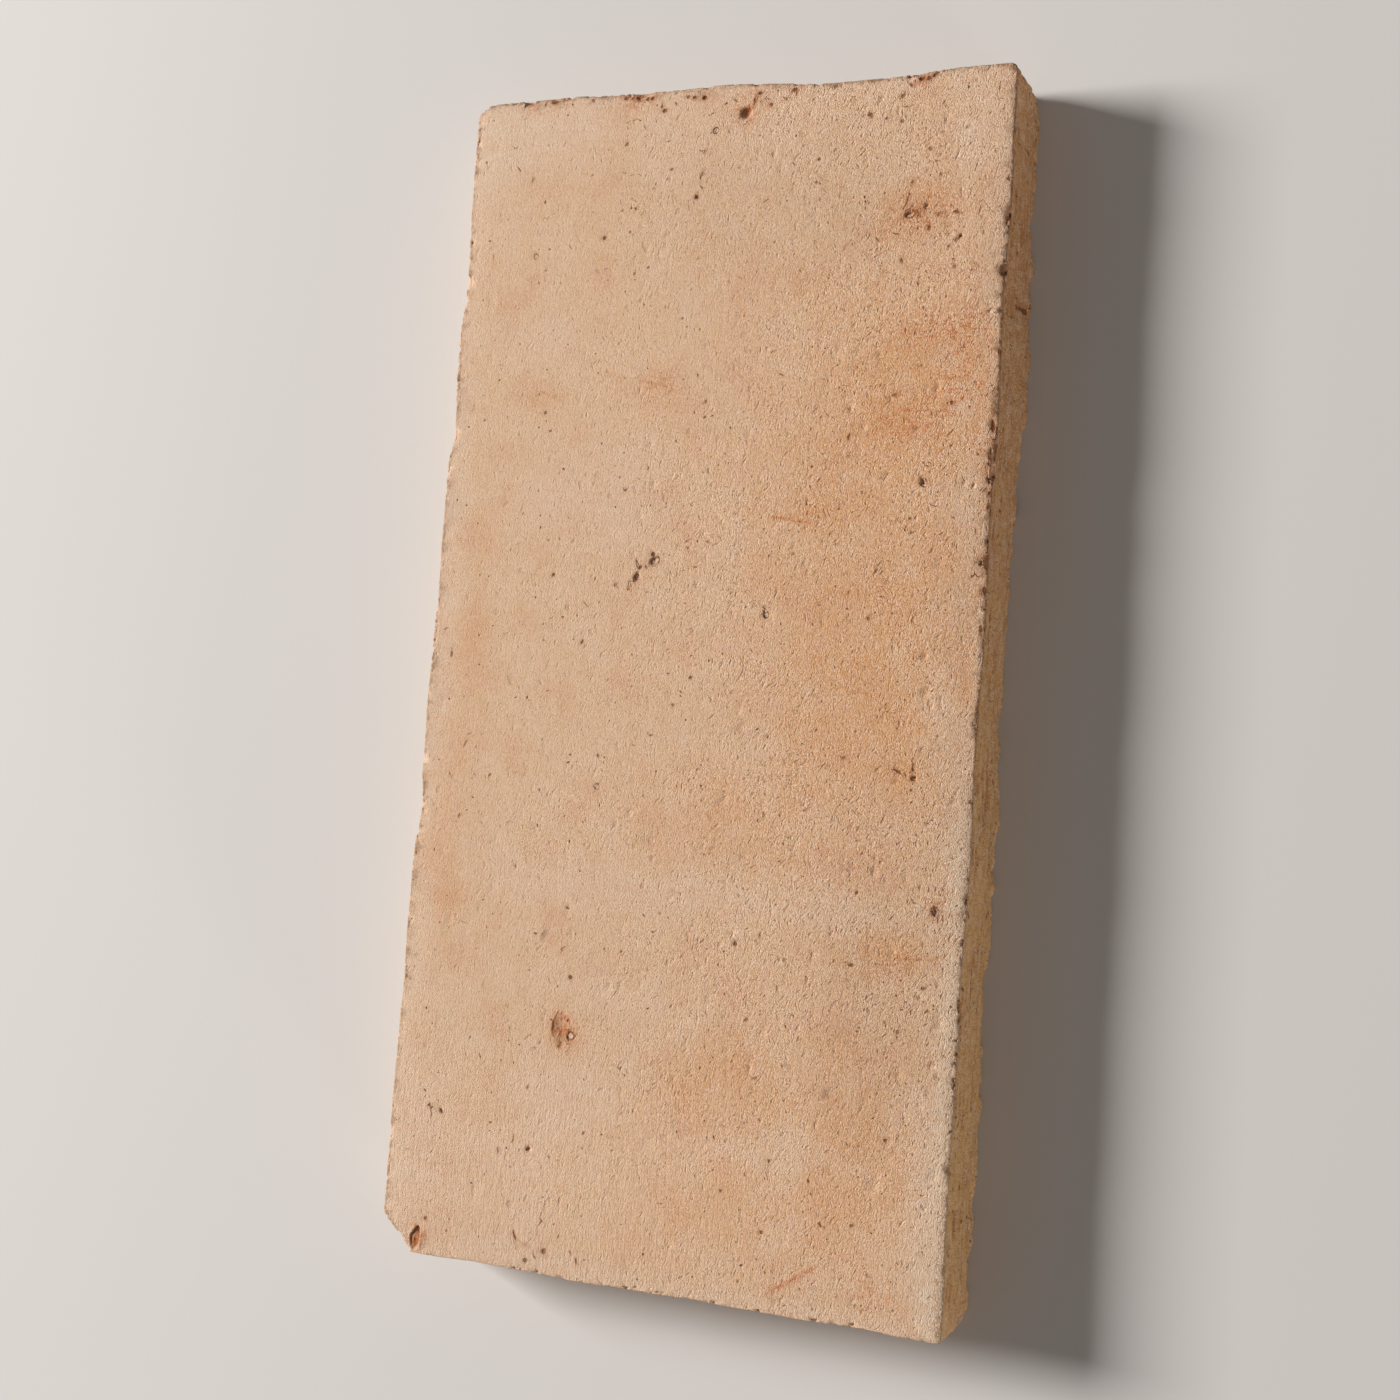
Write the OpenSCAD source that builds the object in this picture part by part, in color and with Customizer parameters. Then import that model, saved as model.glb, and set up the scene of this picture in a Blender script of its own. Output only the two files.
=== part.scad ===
// Handmade terracotta floor tile: one slab of fired clay with cut sides that
// wander, worn arrises, broken corners, chips and pits.
// Millimetres, Z up. The slab lies on its bed face, walking face up, and the
// origin is the middle of the bed face. East is +X and north is +Y.

/* [Slab] */
// Width of the slab, east to west
slab_w = 150; // [100:1:250]
// Length of the slab, north to south
slab_l = 300; // [200:1:450]
// Thickness of the slab
slab_t = 22; // [16:0.5:40]

/* [Sides] */
// How far a cut side wanders from true, in and out
wander_d = 0.3; // [0:0.05:1]
// Distance from one wander of a side to the next
wander_len = 52; // [30:1:120]
// Depth of the deepest bend that drying drew into a side
bend_d = 1.4; // [0:0.1:3]
// Length of a bend along its side
bend_len = 72; // [30:1:100]

/* [Arrises] */
// Radius of the worn arris round the walking face
face_arris_r = 0.7; // [0.4:0.1:3]
// Radius of the arris round the bed face
bed_arris_r = 0.9; // [0.4:0.1:3]
// Width of the margin where the walking face falls away to its arris
margin_w = 9; // [4:0.5:25]
// How far the walking face falls over that margin
margin_fall = 0.25; // [0:0.05:1.5]

/* [Corners] */
// Radius of the north-east corner at the walking face
ne_face_r = 2; // [1:0.5:12]
// Radius of the north-east corner at the bed face
ne_bed_r = 5; // [1:0.5:12]
// Radius of the north-west corner at the walking face
nw_face_r = 5; // [1:0.5:12]
// Radius of the north-west corner at the bed face
nw_bed_r = 4; // [1:0.5:12]
// Radius of the south-west corner at the walking face
sw_face_r = 3; // [1:0.5:12]
// Radius of the south-west corner at the bed face
sw_bed_r = 3; // [1:0.5:12]
// Radius of the south-east corner at the walking face
se_face_r = 1; // [1:0.5:12]
// Radius of the south-east corner at the bed face
se_bed_r = 5.5; // [1:0.5:12]

/* [Damage] */
// Width of a common chip in an arris
chip_w = 3; // [0.5:0.1:6]
// Width of a common pit in the walking face
pit_w = 2.2; // [0.5:0.1:5]
// Length of side that the broken south-west corner takes away at the face
break_w = 8.8; // [3:0.2:14]
// Length of side that it takes away at the foot
break_foot_w = 5; // [3:0.2:14]

/* [Hidden] */

// The sides by number, counter-clockwise from east, and the way each one faces
EAST = 0;
NORTH = 1;
WEST = 2;
SOUTH = 3;

// Distance between two points of a ring, along a side
side_step = 4.5;
// Steps round a corner, and round an arris
CORNER_STEPS = 5;
ARRIS_STEPS = 3;
// How far a chip may lie askew of its side
CHIP_TURN = 30;
// Smallest radius that a ring's corner may shrink to
least_r = 0.5;
// The slow wave's share of a side's wander; the rest is its quicker ripple
WAVE_SHARE = 0.67;
RIPPLES = 2.6;
// How flat-topped a bend is, from 1 for a plain wave
SHOULDER = 1.6;
// How sharply a side's bends fade towards the middle of the slab
FADE = 5;

// Bends: side, place along it from -1 to 1, length as a multiple of bend_len,
// depth at the face and at the foot as shares of bend_d. A negative depth
// swells out past the slab's true side.
BENDS = [
    [EAST, 0.57, 0.85, 0.1, -0.8],
    [EAST, -0.62, 0.9, 0.2, -0.2],
    [EAST, 0.05, 0.9, 0, 0.5],
    [NORTH, 0.45, 0.95, 0.95, 0.6],
    [WEST, 0.68, 0.5, 0.7, 0.3],
    [WEST, 0.42, 0.3, 0.6, 0.4],
    [WEST, -0.25, 0.25, 0.55, 0.2],
    [WEST, -0.5, 1.1, -0.1, -0.6],
    [SOUTH, 0.5, 0.9, 0.25, 0.5],
];

// Chips in the arrises: side, place along it from -1 to 1, height from 0 at the
// bed to 1 at the face, width as a multiple of chip_w, and how many times
// longer than wide it runs
CHIPS = [
    [EAST, 0.75, 1, 1.1, 1.3],
    [EAST, 0.655, 1, 1, 1.4],
    [EAST, 0.36, 1, 0.75, 6],
    [EAST, 0.335, 0.96, 0.9, 2],
    [EAST, 0.225, 1, 0.6, 1.3],
    [EAST, 0.19, 1, 1.1, 1.2],
    [EAST, 0.14, 1, 0.7, 2],
    [EAST, -0.012, 1, 0.5, 1.3],
    [EAST, -0.25, 1, 0.6, 1.2],
    [EAST, -0.43, 1, 0.6, 1.4],
    [EAST, -0.563, 1, 0.5, 1.2],
    [EAST, -0.74, 1, 0.8, 1.3],
    [EAST, -0.82, 1, 0.55, 5],
    [EAST, -0.887, 1, 0.6, 1.2],
    [NORTH, 0.66, 1, 0.9, 1.8],
    [NORTH, 0.23, 1, 0.7, 1.1],
    [NORTH, 0.087, 1, 0.8, 1.2],
    [NORTH, -0.1, 1, 0.8, 1.6],
    [NORTH, -0.34, 1, 1.1, 2.2],
    [NORTH, -0.69, 1, 0.5, 4],
    [NORTH, -0.79, 1, 1, 1.4],
    [WEST, 0.675, 1, 1.1, 1.5],
    [WEST, 0.64, 1, 1, 1.2],
    [WEST, 0.4, 1, 0.9, 1.5],
    [WEST, 0.1, 1, 0.7, 1.6],
    [WEST, -0.17, 1, 0.8, 1.5],
    [WEST, -0.25, 1, 0.6, 1.2],
    [SOUTH, 0.65, 1, 0.7, 2],
    [SOUTH, -0.3, 1, 0.7, 1.5],
    [EAST, 0.995, 0.75, 1.4, 1.1],
    [EAST, 0.995, 0.3, 2, 1.1],
    [EAST, -0.99, 0.35, 2.2, 1],
    [EAST, 0.32, 0, 1.3, 2.8],
    [EAST, 0.72, 0, 0.9, 1.4],
    [EAST, -0.1, 0, 1, 1.8],
    [EAST, -0.52, 0, 0.8, 1.4],
    [NORTH, 0.7, 0, 1.1, 1.6],
    [NORTH, -0.35, 0, 0.9, 2.2],
    [WEST, 0.3, 0, 1, 1.8],
    [WEST, -0.62, 0, 1.1, 1.5],
    [SOUTH, 0.2, 0, 0.9, 1.8],
];

// Pits in the walking face: place from -1 to 1 east and north, width as a
// multiple of pit_w, how many times longer it is, the turn of its length, and
// its depth as a share of its width
PITS = [
    [-0.363, -0.598, 3.1, 1.35, 90, 0.12],
    [-0.223, 0.155, 0.9, 1.3, 70, 0.5],
    [-0.16, 0.182, 1.2, 1.3, 35, 0.35],
    [0.053, 0.947, 1.5, 1.2, 40, 0.3],
    [0.658, 0.757, 0.9, 1.3, 40, 0.45],
    [0.717, 0.77, 0.6, 2, 75, 0.45],
    [0.84, 0.717, 0.5, 1.2, 0, 0.4],
    [0.767, 0.317, 0.6, 1.8, 100, 0.45],
    [0.257, 0.098, 0.5, 2, 110, 0.45],
    [0.897, -0.355, 0.7, 1.8, 95, 0.45],
    [0.8, -0.151, 0.7, 1.1, 0, 0.4],
    [-0.8, -0.76, 0.5, 2, 120, 0.4],
    [-0.453, -0.801, 0.55, 1.3, 0, 0.4],
    [-0.857, -0.974, 1.6, 2, 80, 0.35],
];

// The broken corner's outline from the slab's true corner, going round it, as
// multiples of break_w: what lies between it and the corner is gone
BREAK = [[-0.3, -0.3], [1.05, -0.3], [0.98, 0.1], [0.52, 0.5], [0.34, 0.74], [0.04, 1], [-0.3, 1.05]];
// How unevenly that break runs down the slab, as a share of its size
BREAK_ROUGH = 0.07;

// ---- Where a side runs ----

// A bend's shape from -1 to 1, flatter and steeper than a plain wave
function bell(u) = abs(u) < 1 ? (1 + cos(180 * pow(abs(u), SHOULDER))) / 2 : 0;

// How far a side of half length half stands in from true, at the distance s
// along it from its middle and at the height z
function stand_in(side, s, half, z) =
    let (
        wave = sin(360 * s / wander_len + 70 * side),
        ripple = sin(RIPPLES * 360 * s / wander_len + 110 * side + 3 * z),
        up = z / slab_t
    )
    -wander_d * mix(ripple, wave, WAVE_SHARE)
        + sum_of([for (b = BENDS) if (b[0] == side)
            bend_d * mix(b[4], b[3], up) * bell((s - b[1] * half) * 2 / (bend_len * b[2]))]);

function sum_of(list) = [for (v = list) 1] * list;

// A side's wander fades out towards the middle of the slab
function fade(v, half) = pow(min(abs(v) / half, 1), FADE);

// A point of the true slab, moved to where the wandering sides take it
function wander(p) =
    let (
        half_w = slab_w / 2,
        half_l = slab_l / 2,
        in_x = stand_in(p.x > 0 ? EAST : WEST, p.y, half_l, p.z) * fade(p.x, half_w),
        in_y = stand_in(p.y > 0 ? NORTH : SOUTH, p.x, half_w, p.z) * fade(p.y, half_l)
    )
    [p.x - sign(p.x) * in_x, p.y - sign(p.y) * in_y, p.z];

// ---- The skin of the slab ----

function mix(low, high, share) = low + (high - low) * share;

function arc(centre, r, from) =
    [for (i = [0 : CORNER_STEPS])
        let (q = from + 90 * i / CORNER_STEPS) centre + r * [cos(q), sin(q)]];

// The points between two points of a side, without its ends
function run(a, b, full) =
    let (n = ceil(full / side_step)) [for (i = [1 : n - 1]) mix(a, b, i / n)];

// The true outline, drawn in by e, at the height z
function outline(e, z) =
    let (
        x = slab_w / 2 - e,
        y = slab_l / 2 - e,
        up = z / slab_t,
        ne = max(mix(ne_bed_r, ne_face_r, up) - e, least_r),
        nw = max(mix(nw_bed_r, nw_face_r, up) - e, least_r),
        sw = max(mix(sw_bed_r, sw_face_r, up) - e, least_r),
        se = max(mix(se_bed_r, se_face_r, up) - e, least_r)
    )
    concat(
        arc([x - ne, y - ne], ne, 0), run([x - ne, y], [nw - x, y], slab_w),
        arc([nw - x, y - nw], nw, 90), run([-x, y - nw], [-x, sw - y], slab_l),
        arc([sw - x, sw - y], sw, 180), run([sw - x, -y], [x - se, -y], slab_w),
        arc([x - se, se - y], se, 270), run([x, se - y], [x, y - ne], slab_l)
    );

// The section of the slab's rim: how far in each ring is, and its height
wall_top = slab_t - margin_fall - face_arris_r;
RIM = concat(
    [for (i = [0 : ARRIS_STEPS]) let (q = 90 * i / ARRIS_STEPS)
        [bed_arris_r * (1 - sin(q)), bed_arris_r * (1 - cos(q))]],
    [for (share = [1 / 3, 2 / 3]) [0, mix(bed_arris_r, wall_top, share)]],
    [for (i = [0 : ARRIS_STEPS]) let (q = 90 * i / ARRIS_STEPS)
        [face_arris_r * (1 - cos(q)), wall_top + face_arris_r * sin(q)]],
    [for (share = [1 / 3, 2 / 3, 1])
        [face_arris_r + margin_w * share, slab_t - margin_fall * pow(1 - share, 2)]]
);

function middle(ring) = sum_of(ring) / len(ring);

// Closes a stack of rings of equal counts into a solid, each end with a fan
// of faces round its middle
module skin(rings) {
    n = len(rings[0]);
    top = len(rings) - 1;
    foot_mid = n * (top + 1);
    head_mid = foot_mid + 1;
    points = concat([for (ring = rings) each ring], [middle(rings[0]), middle(rings[top])]);
    walls = [for (j = [0 : top - 1]) for (i = [0 : n - 1]) let (k = (i + 1) % n)
        each [
            [j * n + i, (j + 1) * n + k, j * n + k],
            [j * n + i, (j + 1) * n + i, (j + 1) * n + k]
        ]];
    ends = [for (i = [0 : n - 1]) let (k = (i + 1) % n)
        each [[foot_mid, i, k], [head_mid, top * n + k, top * n + i]]];
    polyhedron(points, concat(walls, ends), convexity = 6);
}

module slab() {
    skin([for (ring = RIM)
        [for (p = outline(ring[0], ring[1])) wander([p.x, p.y, ring[1]])]]);
}

// ---- Damage ----

// An uneven lump, about 2 wide, whose bite leaves a clean hollow in the clay
module lump(seed) {
    bands = 4;
    spokes = 8;
    swell = rands(0.8, 1.15, (bands + 1) * spokes, seed);
    hull()
        skin([for (j = [0 : bands]) let (tilt = mix(-80, 80, j / bands))
            [for (i = [0 : spokes - 1]) let (q = -360 * i / spokes)
                swell[j * spokes + i] * [cos(tilt) * cos(q), cos(tilt) * sin(q), sin(tilt)]]]);
}

// A point of a cut side, at a share of its length from the middle and of its height
function on_side(side, at, up) =
    let (
        east_west = side == EAST || side == WEST,
        out = side == EAST || side == NORTH ? 1 : -1
    )
    wander(east_west ? [out * slab_w / 2, at * slab_l / 2, up * slab_t]
        : [at * slab_w / 2, out * slab_l / 2, up * slab_t]);

module chips() {
    for (i = [0 : len(CHIPS) - 1]) {
        chip = CHIPS[i];
        half = chip_w * chip[3] / 2;
        translate(on_side(chip[0], chip[1], chip[2]))
            rotate(90 * chip[0] + 90 + CHIP_TURN * sin(100 * i) / chip[4])
                scale([half * chip[4], half, half])
                    lump(i);
    }
}

module pits() {
    for (i = [0 : len(PITS) - 1]) {
        pit = PITS[i];
        half = pit_w * pit[2] / 2;
        translate([pit[0] * slab_w / 2, pit[1] * slab_l / 2, slab_t])
            rotate(pit[4])
                scale([half * pit[3], half, 2 * half * pit[5]])
                    lump(50 + i);
    }
}

module broken_corner() {
    bands = 4;
    count = len(BREAK);
    jitter = rands(-BREAK_ROUGH, BREAK_ROUGH, 2 * (bands + 1) * count, 90);
    translate([-slab_w / 2, -slab_l / 2])
        skin([for (j = [0 : bands])
            let (z = mix(-1, slab_t + 1, j / bands), size = mix(break_foot_w, break_w, z / slab_t))
            [for (i = [0 : count - 1])
                let (k = 2 * (j * count + i), p = BREAK[i] + [jitter[k], jitter[k + 1]])
                [size * p.x, size * p.y, z]]]);
}

module tile() {
    color("#d6b08f")
        difference() {
            slab();
            chips();
            pits();
            broken_corner();
        }
}

tile();
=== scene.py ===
"""The terracotta floor tile: its relief and fired colours, a plain pale floor and soft studio light."""

import math

import bmesh
import bpy
from mathutils import Matrix, Vector


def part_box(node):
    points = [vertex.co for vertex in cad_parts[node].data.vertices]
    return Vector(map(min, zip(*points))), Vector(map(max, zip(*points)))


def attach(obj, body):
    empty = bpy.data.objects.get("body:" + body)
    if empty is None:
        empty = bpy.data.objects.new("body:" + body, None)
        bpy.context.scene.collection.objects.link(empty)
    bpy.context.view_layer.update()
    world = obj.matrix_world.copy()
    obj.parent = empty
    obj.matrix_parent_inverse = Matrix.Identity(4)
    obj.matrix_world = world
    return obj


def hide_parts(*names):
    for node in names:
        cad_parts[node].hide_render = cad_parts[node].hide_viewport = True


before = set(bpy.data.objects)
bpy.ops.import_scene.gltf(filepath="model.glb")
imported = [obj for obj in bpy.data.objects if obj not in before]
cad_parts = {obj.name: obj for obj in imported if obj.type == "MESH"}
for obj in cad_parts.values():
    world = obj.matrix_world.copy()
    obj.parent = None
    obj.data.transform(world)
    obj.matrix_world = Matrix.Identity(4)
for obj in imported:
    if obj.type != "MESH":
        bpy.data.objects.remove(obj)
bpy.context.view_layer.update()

bl_info = {
    "name": "Terracotta floor tile",
    "version": (1, 0, 0),
    "blender": (4, 5, 0),
    "location": "View3D > Sidebar > Terracotta",
    "description": "Handmade terracotta floor tile with its sandy relief, fired colours and studio",
    "category": "Add Mesh",
}

MM = 0.001
NODE = "tile"
SLOT = "fired_clay"

LOW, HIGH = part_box(NODE)
FACE_Z = HIGH[2]
HALF_W = (HIGH[0] - LOW[0]) / 2
HALF_L = (HIGH[1] - LOW[1]) / 2

# Pits in the walking face, in millimetres: east, north, width, how many times longer than wide,
# turn of its length from east in degrees, depth, and how rusty it is inside from 0 to 1.
PITS = (
    (-26, -88, 0.8, 1, 0, 0.6, 0.8),
    (-28, -94.5, 0.8, 1, 0, 0.5, 0.8),
    (-12.4, 29, 1.2, 1.3, 0, 0.8, 0.6),
    (-22.2, 21, 1, 1.2, 0, 0.4, 0.5),
    (4, 142, 2.6, 1.2, 50, 0.3, 0.7),
    (2.4, 140.8, 0.8, 1.6, 60, 0.4, 0.8),
    (5.6, 143.2, 0.7, 1.6, 20, 0.4, 0.8),
    (11, 143.7, 1.1, 1.1, 0, 0.5, 0.9),
    (37.8, 139.2, 1.3, 1.1, 0, 0.6, 0.7),
    (46, 143.4, 1.2, 1.4, 40, 0.5, 0.7),
    (46.2, 137, 1, 1.2, 0, 0.5, 0.5),
    (63, 134.3, 1, 1, 0, 0.4, 0.5),
    (54, 129.5, 0.9, 1.2, 0, 0.5, 0.6),
    (57, 123, 0.9, 1, 0, 0.5, 0.6),
    (50, 121.5, 1, 1.3, 60, 0.4, 0.6),
    (48.5, 116, 0.8, 3.2, 65, 0.5, 0.7),
    (53.8, 115, 1.1, 1.8, 80, 0.5, 0.7),
    (57.5, 113, 0.9, 2, 10, 0.4, 0.8),
    (61.5, 113.4, 0.9, 2.2, 170, 0.6, 1),
    (63, 107.5, 1.1, 1.2, 0, 0.6, 0.8),
    (60.3, 105, 0.9, 1, 0, 0.5, 0.7),
    (48.3, 102, 1, 1.3, 90, 0.6, 0.6),
    (62, 100, 0.9, 1, 0, 0.5, 0.6),
    (53, 96, 1, 1, 0, 0.5, 0.5),
    (-8, 120.8, 1.3, 1.1, 0, 0.8, 0.7),
    (-33.5, 111.3, 1.2, 1.1, 0, 0.6, 0.5),
    (-25, 118.7, 1, 1, 0, 0.5, 0.4),
    (-7, 126.5, 0.8, 3.6, 70, 0.5, 0.5),
    (-15.5, 128.5, 1, 1.2, 0, 0.5, 0.4),
    (-24, 101.5, 0.9, 1.3, 80, 0.5, 0.4),
    (-29, 136, 1.1, 1.1, 0, 0.5, 0.4),
    (-19, 144.2, 1.2, 1.3, 0, 0.6, 0.6),
    (-56, 128, 0.9, 2.4, 60, 0.4, 0.3),
    (63.4, 66.7, 1.1, 1, 0, 0.7, 0.8),
    (37.8, 58.7, 0.8, 2.8, 80, 0.6, 0.6),
    (49, 68.7, 1, 1.4, 30, 0.5, 0.8),
    (54.8, 38.7, 1, 1.2, 0, 0.5, 0.6),
    (20.3, 17.8, 0.7, 1.6, 20, 0.3, 0.5),
    (46, 14.5, 1, 1.2, 60, 0.5, 0.5),
    (-40.2, 23.3, 1.1, 1.2, 0, 0.6, 0.5),
    (-30.5, 6.3, 1, 1.4, 60, 0.6, 0.5),
    (-21.5, 45.3, 1, 1.2, 0, 0.5, 0.5),
    (-1, 67.8, 1, 1, 0, 0.5, 0.4),
    (-46.5, 65.5, 1, 1.2, 0, 0.5, 0.5),
    (-68.5, 2, 1, 2, 90, 0.5, 0.4),
    (0.5, -1.5, 1, 1.2, 0, 0.6, 0.5),
    (56, -21.5, 0.8, 3.4, 150, 0.7, 0.9),
    (60, -22.7, 1.5, 1.1, 0, 0.8, 0.9),
    (42.3, -19, 1, 1.2, 0, 0.5, 0.6),
    (17.5, -65, 1.2, 1.6, 110, 0.6, 0.6),
    (65.5, -71, 1, 1.2, 0, 0.5, 0.5),
    (-54, -28.7, 0.9, 1.4, 60, 0.5, 0.4),
    (-62, -39.5, 0.9, 1.4, 60, 0.5, 0.4),
    (-34, -67.5, 2.5, 1.2, 40, 0.3, 0.3),
    (-26, -77.3, 1.1, 1.2, 0, 0.6, 0.6),
    (-3.7, -8.5, 1, 1.2, 0, 0.5, 0.4),
    (-62, -21, 0.8, 2.6, 60, 0.4, 0.3),
    (18, -44.5, 3, 1.2, 70, 0.25, 0.1),
    (46, -45, 3, 1.2, 70, 0.25, 0.1),
    (-7, -42, 2.6, 1.2, 70, 0.25, 0.1),
    (15, -13, 3, 1.3, 80, 0.25, 0.1),
    (-63.5, -113, 0.9, 1.1, 0, 0.6, 0.6),
    (-60, -114, 0.8, 2.2, 120, 0.7, 0.6),
    (-34.2, -120.2, 1.2, 1.4, 30, 0.6, 0.6),
    (-42.5, -121.5, 0.9, 1.8, 100, 0.4, 0.5),
    (-36, -141.5, 0.9, 3.6, 115, 0.6, 0.6),
    (-27.5, -144, 1.8, 1.1, 0, 0.5, 0.6),
    (-32.5, -147, 1.4, 1.2, 0, 0.5, 0.5),
    (-18.5, -145, 0.8, 2.4, 105, 0.5, 0.5),
    (-61.8, -141, 0.9, 1, 0, 0.5, 1),
    (30.2, -114.7, 1, 1.1, 0, 0.6, 0.5),
    (58.8, -106.3, 1, 1.1, 0, 0.6, 0.5),
    (22, -82.7, 1, 1.3, 60, 0.5, 0.5),
    (18.5, -123.2, 1, 1.1, 0, 0.5, 0.5),
    (29.7, -131.3, 1, 1.2, 0, 0.5, 0.5),
    (52, -126.5, 1, 1.2, 0, 0.5, 0.5),
    (44, -97.5, 3.4, 1.1, 0, 0.3, 0.2),
    (60, -81.5, 1, 1.2, 0, 0.5, 0.5),
    (-74, -81.7, 1.6, 1, 0, 0.5, 0.6),
    (73.8, 61, 1.7, 2.6, 95, 0.8, 0.8),
    (73.9, 54.5, 1.9, 2.4, 85, 0.9, 0.8),
    (73.8, 48.5, 1.6, 2.2, 95, 0.8, 0.8),
    (73.9, 42, 1, 2.2, 90, 0.6, 0.8),
    (74.2, 34, 1.3, 1.3, 40, 0.8, 0.9),
    (73.6, 28.5, 2.5, 1.1, 0, 0.9, 0.8),
    (74.2, 22, 1.1, 2, 90, 0.7, 0.9),
    (73.9, 13, 0.9, 2.4, 90, 0.6, 0.7),
    (74.2, 98, 1.5, 1.6, 70, 0.8, 0.9),
    (74.2, 112.5, 1.3, 1.8, 100, 0.8, 0.9),
    (74, 121, 0.9, 1.6, 90, 0.6, 0.6),
    (74.2, 79, 0.9, 2.4, 90, 0.6, 0.9),
    (74, -27.5, 0.9, 1.4, 90, 0.6, 0.6),
    (74.2, -74, 1.1, 2.2, 90, 0.8, 0.7),
    (-26.5, 148.4, 1.8, 1.4, 0, 0.9, 1),
    (-22.8, 147.8, 1.1, 1.3, 30, 0.7, 1),
    (-30.5, 148.4, 1.1, 1.8, 0, 0.6, 1),
    (-59.5, 149, 1.1, 1.6, 0, 0.7, 0.9),
    (-51.5, 148.8, 0.8, 4, 8, 0.6, 1),
    (-40, 148.6, 0.9, 1.6, 0, 0.5, 0.8),
    (-8, 147, 1.4, 1.2, 0, 0.9, 1),
    (-12.5, 147.4, 0.9, 1.6, 0, 0.5, 1),
    (7.5, 147, 1, 1.4, 0, 0.7, 1),
    (17, 147.2, 1.1, 1.6, 20, 0.7, 1),
    (28, 147.2, 0.8, 1.8, 0, 0.5, 0.8),
    (50.5, 147.6, 1.6, 1.4, 20, 0.8, 0.9),
    (53.6, 148, 1, 1.6, 60, 0.8, 0.8),
    (-74, 97, 1.3, 1.4, 60, 0.7, 0.8),
    (-73.7, 93.5, 0.9, 1.4, 90, 0.6, 0.7),
    (-74, 15, 0.9, 1.3, 90, 0.5, 0.5),
    (-74, -50, 0.9, 1.3, 90, 0.5, 0.5),
)

# Pits with a lump in the middle, painted as a pale highlight inside a dark ring, so that they read as rings:
# as above
RINGED_PITS = (
    (-24.9, -91.6, 2.5, 1.1, 30, 0.5, 0.6),
    (-11.7, 27.5, 2.3, 1.3, 30, 0.5, 0.6),
    (-16.8, 23.3, 1.5, 1.8, 75, 0.6, 0.6),
    (-4, 138, 1.8, 1, 0, 0.5, 0.5),
    (-53.3, 107.3, 1.6, 1, 0, 0.4, 0.4),
    (57.5, 47.5, 1.8, 1.3, 100, 0.7, 0.7),
    (37, 49, 1.7, 1.3, 60, 0.25, 0.2),
    (19.3, 14.7, 1.5, 1.5, 110, 0.6, 0.5),
    (50, 113.5, 2.2, 1.2, 30, 0.5, 0.7),
    (67.3, -53.2, 2, 1.2, 95, 0.5, 0.8),
    (-23, -29.8, 1.6, 1, 0, 0.4, 0.4),
)

# Rough floors that lie higher than a plain bowl: east, north, half width, half length, height
ROUGH_FLOORS = (
    (-27.2, -89.7, 3.3, 4.6, 0.4),
    (-64.3, -146.1, 2.2, 3.4, 0.8),
    (-16.7, 23.3, 1.1, 1.4, 0.5),
    (-12, 27.3, 1.4, 1.5, 0.45),
    (67.3, -53.3, 0.8, 1.3, 0.3),
    (49.4, 113.6, 1.1, 1.1, 0.3),
    (60, -22.6, 0.8, 0.8, 0.2),
    (57.5, 47.5, 0.7, 1.2, 0.2),
    (19.3, 14.8, 0.6, 1, 0.25),
    (54, 115.4, 0.7, 1.2, 0.2),
)

# Broad hollows whose floor shows the rusty body of the clay: east, north, half width, half length,
# strength
RUSTY_FLOORS = (
    (-27.4, -90, 3.6, 4.8, 0.75),
    (-64.2, -146.2, 2.2, 3.6, 0.7),
    (4, 142, 2.4, 1.8, 0.6),
    (51, 113.6, 3.4, 1.6, 0.5),
    (50.5, 147.6, 3.2, 1.4, 0.6),
)

# Fine dark lines, which are cracks and the shaded lips of pits: from east, from north, to east,
# to north, width, strength
DARK_LINES = (
    (13, 4.5, 14.3, 2.2, 0.25, 0.4),
    (14.3, 2.2, 14.2, 0.2, 0.25, 0.5),
    (14.2, 0.2, 13, -1.6, 0.25, 0.4),
    (-28.9, -86, -30, -88.4, 0.35, 0.7),
    (-30, -88.4, -30.1, -90.6, 0.6, 1),
    (-30.1, -90.6, -29.7, -92, 0.4, 0.8),
    (67.9, -53.4, 68, -55.6, 0.3, 0.9),
)

# Patches where the fire burnt the clay orange: east, north, half width, half length, strength
ORANGE_PATCHES = (
    (54, 114, 10, 7, 0.85),
    (57, 84, 11, 6, 0.8),
    (67, 85, 7, 7, 0.9),
    (55, 63.5, 11, 7, 1),
    (67, 73, 8, 9, 0.9),
    (-16, 73, 8, 4, 0.5),
    (-47, 69, 5, 4, 0.5),
    (67.3, -52, 3.5, 3.5, 0.9),
    (58, -142, 7, 5, 0.5),
    (-28, -90, 5, 5, 0.4),
    (4, 142, 6, 5, 0.8),
    (-27, 148, 7, 4, 0.9),
    (-58, 149, 6, 4, 0.7),
    (-50, 149, 5, 3, 0.5),
    (-7, 148, 5, 4, 0.7),
    (7, 148, 4, 4, 0.6),
    (17, 148, 4, 4, 0.6),
    (51, 147, 5, 5, 0.7),
    (74, 112, 4, 4, 0.5),
    (74, 98, 4, 4, 0.5),
    (74, 54, 5, 8, 0.6),
    (74, 29, 4, 4, 0.5),
    (73, 22, 3, 3, 0.5),
    (-64, -146, 4, 4, 1),
    (-74, 98, 4, 4, 0.4),
)

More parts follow.
